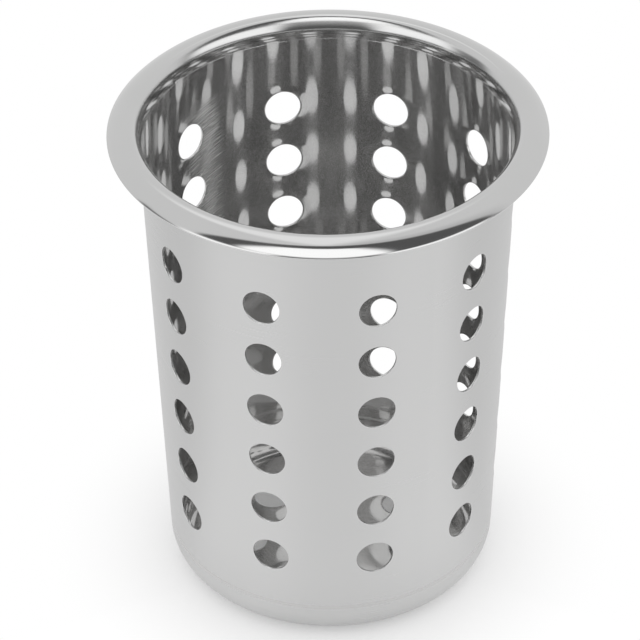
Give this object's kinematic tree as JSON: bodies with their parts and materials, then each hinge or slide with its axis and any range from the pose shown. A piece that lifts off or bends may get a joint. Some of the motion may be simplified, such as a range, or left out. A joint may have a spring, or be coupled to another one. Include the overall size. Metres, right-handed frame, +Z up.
{
  "type": "utensil holder",
  "caption": "Tapered round steel utensil holder with a domed overhanging rim, columns of punched holes in its wall and a flat drained floor with a rounded corner.",
  "frame": {"origin": "on the holder's axis, in the plane of the floor's underside that it stands on", "axes": "+Z up along the axis; the sleeve's lengthwise weld is on the +Y side, halfway between two columns of holes"},
  "size_m": [0.1142, 0.1142, 0.139],
  "materials": {
    "wall_steel": "satin outside, polished inside",
    "bright_steel": "polished",
    "weld_steel": "ground flush and polished"
  },
  "bodies": {
    "root": {"rim_flange": "bright_steel", "perforated_sleeve": "wall_steel", "base_pan": "wall_steel", "rim_weld": "weld_steel", "base_weld": "weld_steel", "side_seam_weld": "weld_steel"}
  },
  "joints": []
}
